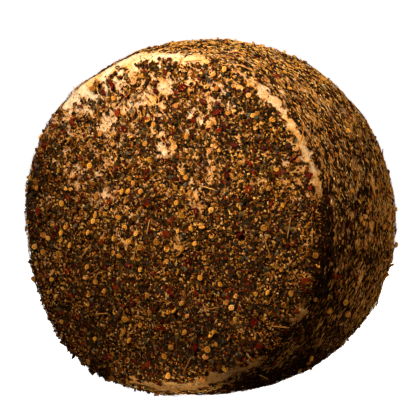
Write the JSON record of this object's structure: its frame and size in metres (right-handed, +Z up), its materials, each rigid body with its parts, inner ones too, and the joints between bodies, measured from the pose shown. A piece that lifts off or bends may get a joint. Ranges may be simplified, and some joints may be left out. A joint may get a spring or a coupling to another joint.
{
  "type": "ball of cheese",
  "caption": "Ball of cheese pressed flat on two faces, its rind rolled in dried herbs, chilli flakes and chilli seeds, standing on its round side.",
  "frame": {"origin": "on the ground, below the middle of the ball", "axes": "+Z up; +Y from the flat front face to the flat back face, along the ball's axis; +X to the right of someone who looks at the front face"},
  "size_m": [0.2049, 0.0962, 0.1934],
  "materials": {
    "herb_crust": "dry crust of dark green-grey and brown herb crumbs",
    "cheese_rind": "smooth ivory to golden rind, slightly greasy",
    "dark_herb": "dried dark green-grey leaf crumbs",
    "brown_herb": "dried brown leaf and husk crumbs",
    "golden_crumb": "pale golden husk and seed crumbs",
    "chilli_seed": "satin amber seed with a raised rim",
    "chilli_skin": "wrinkled deep red skin with a soft gloss",
    "dry_stem": "straw-coloured fibrous stem"
  },
  "bodies": {
    "root": {"cheese_ball": "herb_crust"}
  },
  "joints": []
}
